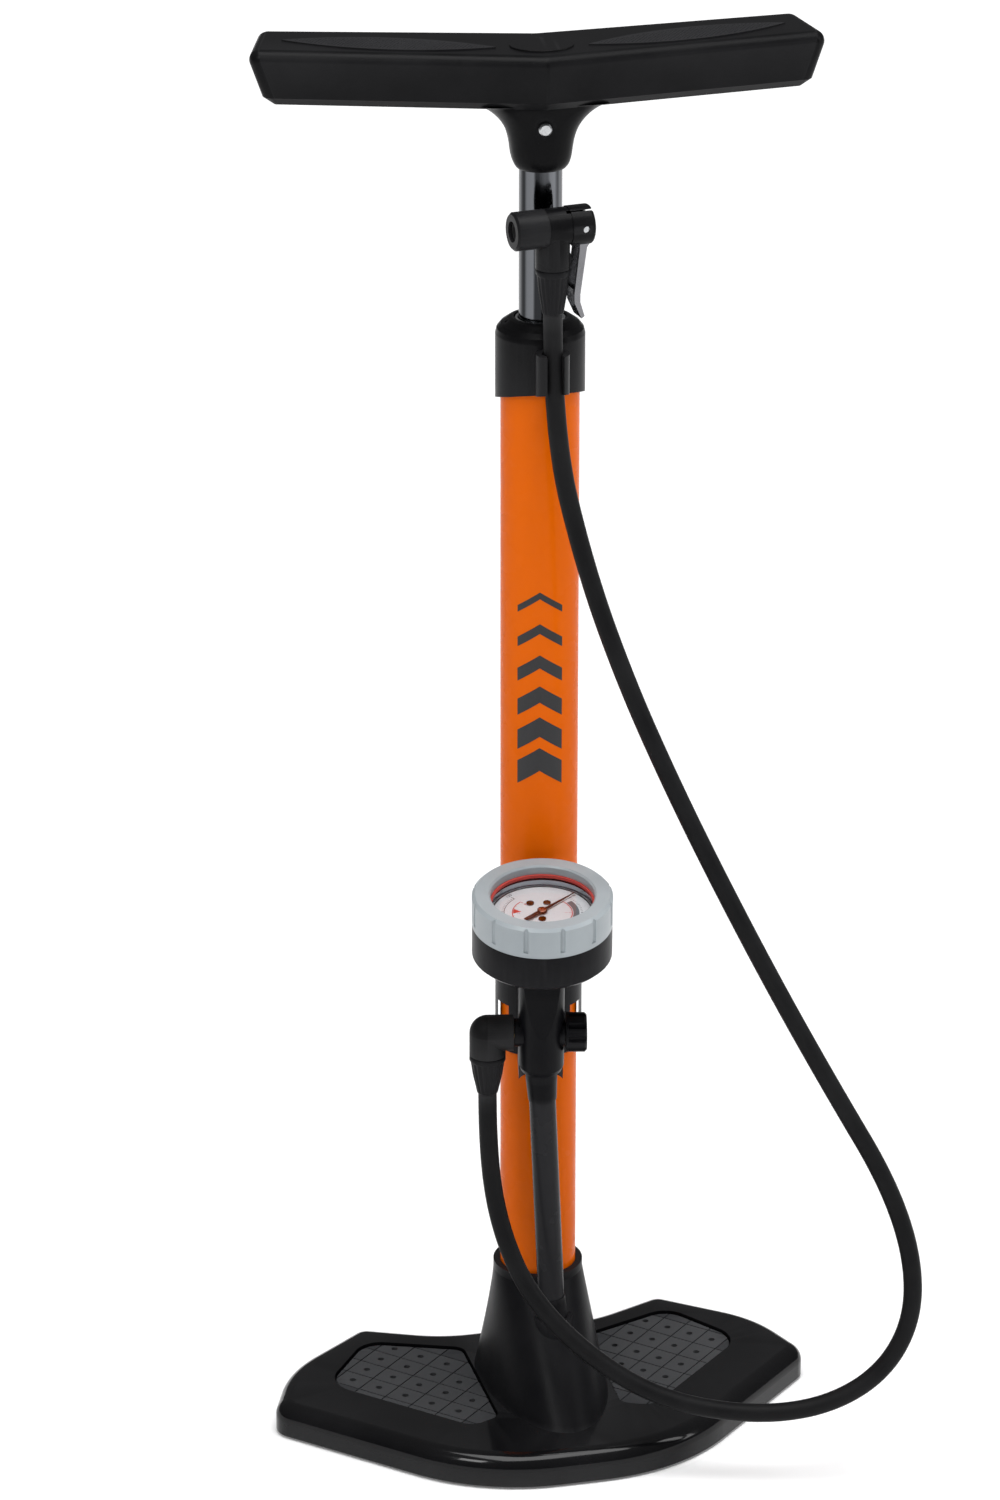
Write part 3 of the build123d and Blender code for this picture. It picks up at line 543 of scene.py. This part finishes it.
def inside_grip(x, y):
    """Whether a spot lies well inside a grip panel, whose two edges are arcs."""
    share = (x - GRIP_INNER_X) / GRIP_LENGTH
    if not 0.05 < share < 0.95:
        return False
    chord = -4 + 24 * share
    bow = 4 * share * (1 - share)
    return chord - 9.6 * bow + 1.2 < y < chord + 9.0 * bow - 1.2


def add_dot(shape, place, x, y, z, radius, height):
    """A little dome."""
    first, sides = len(shape.points), 7
    for level, shrink in ((0.0, 1.0), (0.75, 0.65)):
        for k in range(sides):
            angle = 2 * math.pi * k / sides
            out = Vector((math.cos(angle), math.sin(angle), 0)) * (radius * shrink)
            shape.points.append(place @ ((Vector((x, y, z + height * level)) + out) * MM))
    shape.points.append(place @ (Vector((x, y, z + height)) * MM))
    for k in range(sides):
        n = (k + 1) % sides
        shape.faces.append((first + k, first + n, first + sides + n, first + sides + k))
        shape.faces.append((first + sides + k, first + sides + n, first + 2 * sides))


# ---------------------------------------------------------------- ribbed sleeves on the hose
def add_ribbed_sleeve(name, replaced, place, outline, ribs, depth):
    """A turned sleeve, (radius, height) in mm, whose outside carries fine lengthwise ribs."""
    shape = Shape()
    around = ribs * 6
    rows = []
    for radius, height, share in outline:
        row = []
        for k in range(around):
            angle = 2 * math.pi * k / around
            cut = depth * share * (0.5 - 0.5 * math.cos(ribs * angle)) ** 2
            spot = ((radius - cut) * math.cos(angle), (radius - cut) * math.sin(angle), height)
            row.append(place @ (Vector(spot) * MM))
        rows.append(row)
    shape.sheet(rows, closed=True)
    piece = add_piece(name, shape.points, shape.faces, "pump", "hose_rubber", MATERIALS["sleeve_rubber"])
    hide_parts(replaced)


def sleeve_outline(wide, narrow, top, bottom, bore=4.35):
    """A sleeve that tapers downwards, with a plain collar at its top and a rolled lower lip."""
    drop = bottom - top
    return [(bore, top, 0), (wide - 0.5, top, 0), (wide, top + 0.03 * drop, 0),
            (wide, top + 0.12 * drop, 0), (wide - 0.45, top + 0.15 * drop, 0),
            (wide - 0.5, top + 0.17 * drop, 0.6),
            (wide + (narrow - wide) * 0.42, top + 0.5 * drop, 1.0),
            (wide + (narrow - wide) * 0.82, top + 0.82 * drop, 1.0), (narrow + 0.1, top + 0.95 * drop, 0.5),
            (narrow, top + 0.97 * drop, 0), (narrow - 0.25, bottom, 0), (bore, bottom, 0)]


def add_sleeves():
    """The hose's two sleeves, under the valve head and under the elbow."""
    ribs, depth = 16, 0.5
    at_head = sleeve_outline(7.55, 4.8, -18.1, -38.5)
    add_ribbed_sleeve("sleeve_at_head", "upper_sleeve", HEAD, at_head, ribs, depth)
    leg = Matrix.Translation(Vector((HOSE_ROUTE[0][0], HOSE_ROUTE[0][1], 0)))
    at_elbow = sleeve_outline(8.2, 4.85, 197.6, 179.0)
    add_ribbed_sleeve("sleeve_at_elbow", "lower_sleeve", leg, at_elbow, ribs, depth)


# ---------------------------------------------------------------- small turned pieces
WIPER_FOOT = 530.7                # mm above the floor


def turned(outline, place, low, sides):
    """A turned skin through (radius, height above low) in mm, round the Z axis of place."""
    shape = Shape()
    rows = []
    for radius, height in outline:
        angles = (2 * math.pi * k / sides for k in range(sides))
        rows.append([place @ (Vector((radius * math.cos(a), radius * math.sin(a), low + height)) * MM)
                     for a in angles])
    shape.sheet(rows, closed=True)
    return shape


def add_needle_hub():
    """A copper-coloured stud at the needle's centre."""
    outline = [(0.05, 2.05), (1.2, 2.02), (1.9, 1.95), (2.25, 1.75), (2.25, 0.95), (1.8, 0.9)]
    shape = turned(outline, GAUGE, DIAL_H, 32)
    copper = metal("hub_copper", (0.55, 0.26, 0.19), 0.25)
    add_piece("needle_hub", shape.points, shape.faces, "needle", "brass", copper)


def add_wiper_ring():
    """A bright ring around the rod, just inside the cap's mouth."""
    outline = [(9.75, 0), (9.7, 1.5), (10.3, 2.05), (11.1, 1.9), (11.45, 0.9), (11.45, 0)]
    shape = turned(outline, Matrix.Identity(4), WIPER_FOOT, 48)
    add_piece("wiper_ring", shape.points, shape.faces, "pump", "steel")


add_barrel_graphic()
add_dial_printing()
add_numerals()
add_grip_dots()
add_sleeves()
add_needle_hub()
add_wiper_ring()

# ---------------------------------------------------------------- stage
def add_floor():
    """A pale paper sweep under and behind the pump."""
    mesh = bpy.data.meshes.new("floor")
    half = 9.0
    corners = [(-half, -half, 0), (half, -half, 0), (half, half, 0), (-half, half, 0)]
    mesh.from_pydata(corners, [], [(0, 1, 2, 3)])
    floor = bpy.data.objects.new("floor", mesh)
    bpy.context.scene.collection.objects.link(floor)
    mesh.materials.append(floor_paper())


def add_light(name, place, size, power, target=(0, 0, 0.35)):
    """A soft square lamp at place, aimed at target."""
    lamp = bpy.data.lights.new(name, "AREA")
    lamp.shape = "RECTANGLE"
    lamp.size, lamp.size_y = size
    lamp.energy = power
    holder = bpy.data.objects.new(name, lamp)
    bpy.context.scene.collection.objects.link(holder)
    holder.location = place
    holder.rotation_euler = (Vector(target) - Vector(place)).to_track_quat("-Z", "Y").to_euler()


def add_world():
    """Even, pale surroundings, brighter overhead than along the horizon."""
    world = bpy.data.worlds.new("studio")
    bpy.context.scene.world = world
    world.use_nodes = True
    tree = world.node_tree
    background = tree.nodes["Background"]
    place = tree.nodes.new("ShaderNodeTexCoord")
    split = tree.nodes.new("ShaderNodeSeparateXYZ")
    ramp = tree.nodes.new("ShaderNodeValToRGB")
    ramp.color_ramp.elements[0].position = 0.0
    ramp.color_ramp.elements[0].color = (0.35, 0.35, 0.36, 1)
    ramp.color_ramp.elements[1].position = 0.9
    ramp.color_ramp.elements[1].color = (1, 1, 1, 1)
    tree.links.new(place.outputs["Generated"], split.inputs["Vector"])
    tree.links.new(split.outputs["Z"], ramp.inputs["Fac"])
    tree.links.new(ramp.outputs["Color"], background.inputs["Color"])
    background.inputs["Strength"].default_value = 0.3


add_floor()
add_world()
add_light("key", (-1.5, -1.6, 2.3), (0.7, 0.7), 20)
add_light("side", (2.1, -0.9, 1.5), (0.4, 1.9), 15)
add_light("overhead", (0.1, -0.45, 3.0), (2.0, 2.0), 84)
bpy.context.scene.view_settings.view_transform = "Standard"
